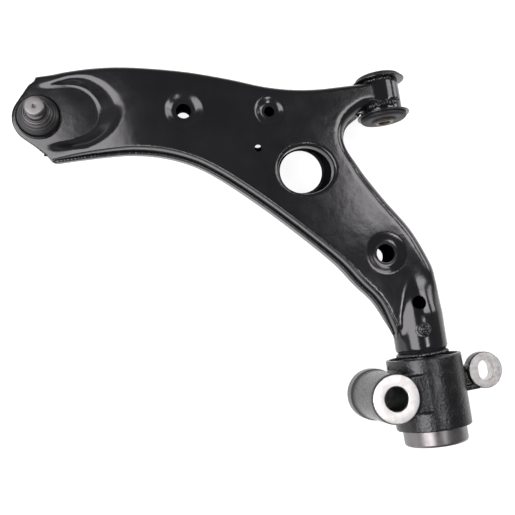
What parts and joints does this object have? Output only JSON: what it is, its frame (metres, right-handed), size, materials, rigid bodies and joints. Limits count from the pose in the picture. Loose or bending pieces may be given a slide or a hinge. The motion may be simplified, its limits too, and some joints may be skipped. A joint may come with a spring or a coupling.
{
  "type": "control arm",
  "caption": "Pressed-steel suspension control arm with a ball joint stud, a sideways front bush and a rear bush in a cast two-point bracket.",
  "frame": {"origin": "middle of the front bush's bolt bore", "axes": "+Y along the pivot axis of both bushes, from the rear bush to the front bush; -X towards the ball joint; +Z the way the ball joint's stud points"},
  "size_m": [0.4505, 0.411, 0.0755],
  "materials": {
    "arm_paint": "glossy black dip-coat paint over pressed steel",
    "weld_paint": "black paint over rippled weld beads",
    "cast_paint": "glossy black paint over a coarse casting, bare machined faces",
    "machined_steel": "bare turned steel",
    "sleeve_steel": "bare drawn steel tube, satin",
    "stud_steel": "bare ground and phosphated steel",
    "zinc_steel": "pale yellow zinc plate",
    "bush_rubber": "moulded black rubber",
    "boot_rubber": "satin black rubber",
    "seat_plastic": "off-white moulded acetal"
  },
  "bodies": {
    "arm": {"upper_shell": "arm_paint", "lower_shell": "arm_paint", "seam_weld_outer": "weld_paint", "seam_weld_front": "weld_paint", "seam_weld_inner": "weld_paint", "eye_tube": "arm_paint", "eye_weld_upper": "weld_paint", "eye_weld_lower": "weld_paint", "front_bush_outer_sleeve": "arm_paint", "front_bush_rubber": "bush_rubber", "ball_joint_housing": "arm_paint", "ball_seat_liner": "seat_plastic", "housing_end_cap": "machined_steel", "boot_retaining_ring": "boot_rubber", "rear_pin": "arm_paint", "plug_weld": "weld_paint", "neck_ring_weld": "weld_paint", "rear_bush_inner_sleeve": "sleeve_steel"},
    "front_sleeve": {"front_bush_inner_sleeve": "zinc_steel"},
    "bracket": {"rear_bush_rubber": "bush_rubber", "rear_bush_outer_sleeve": "sleeve_steel", "rear_bracket": "cast_paint"},
    "boot_middle": {"boot_lower": "boot_rubber"},
    "boot_lip": {"boot_upper": "boot_rubber", "boot_clip_ring": "stud_steel"},
    "stud": {"ball_stud": "stud_steel"}
  },
  "joints": [
    {"name": "front_bush_twist", "type": "hinge", "parent": "arm", "child": "front_sleeve", "pos_m": [0, 0, 0], "axis": [0, 1, 0], "range_deg": [-25, 25], "stiffness_Nm_per_rad": 30},
    {"name": "rear_bush_twist", "type": "hinge", "parent": "arm", "child": "bracket", "pos_m": [0, -0.311, 0], "axis": [0, 1, 0], "range_deg": [-20, 20], "stiffness_Nm_per_rad": 80},
    {"name": "stud_swing_x", "type": "hinge", "parent": "arm", "child": "boot_middle", "pos_m": [-0.346, 0.01, -0.003], "axis": [1, 0, 0], "range_deg": [-16, 16], "deforming": ["boot_lower"]},
    {"name": "stud_swing_y", "type": "hinge", "parent": "boot_middle", "child": "boot_lip", "pos_m": [-0.346, 0.01, -0.003], "axis": [0, 1, 0], "range_deg": [-16, 16], "deforming": ["boot_upper"]},
    {"name": "stud_spin", "type": "hinge", "parent": "boot_lip", "child": "stud", "pos_m": [-0.346, 0.01, -0.003], "axis": [0, 0, 1], "continuous": true}
  ]
}
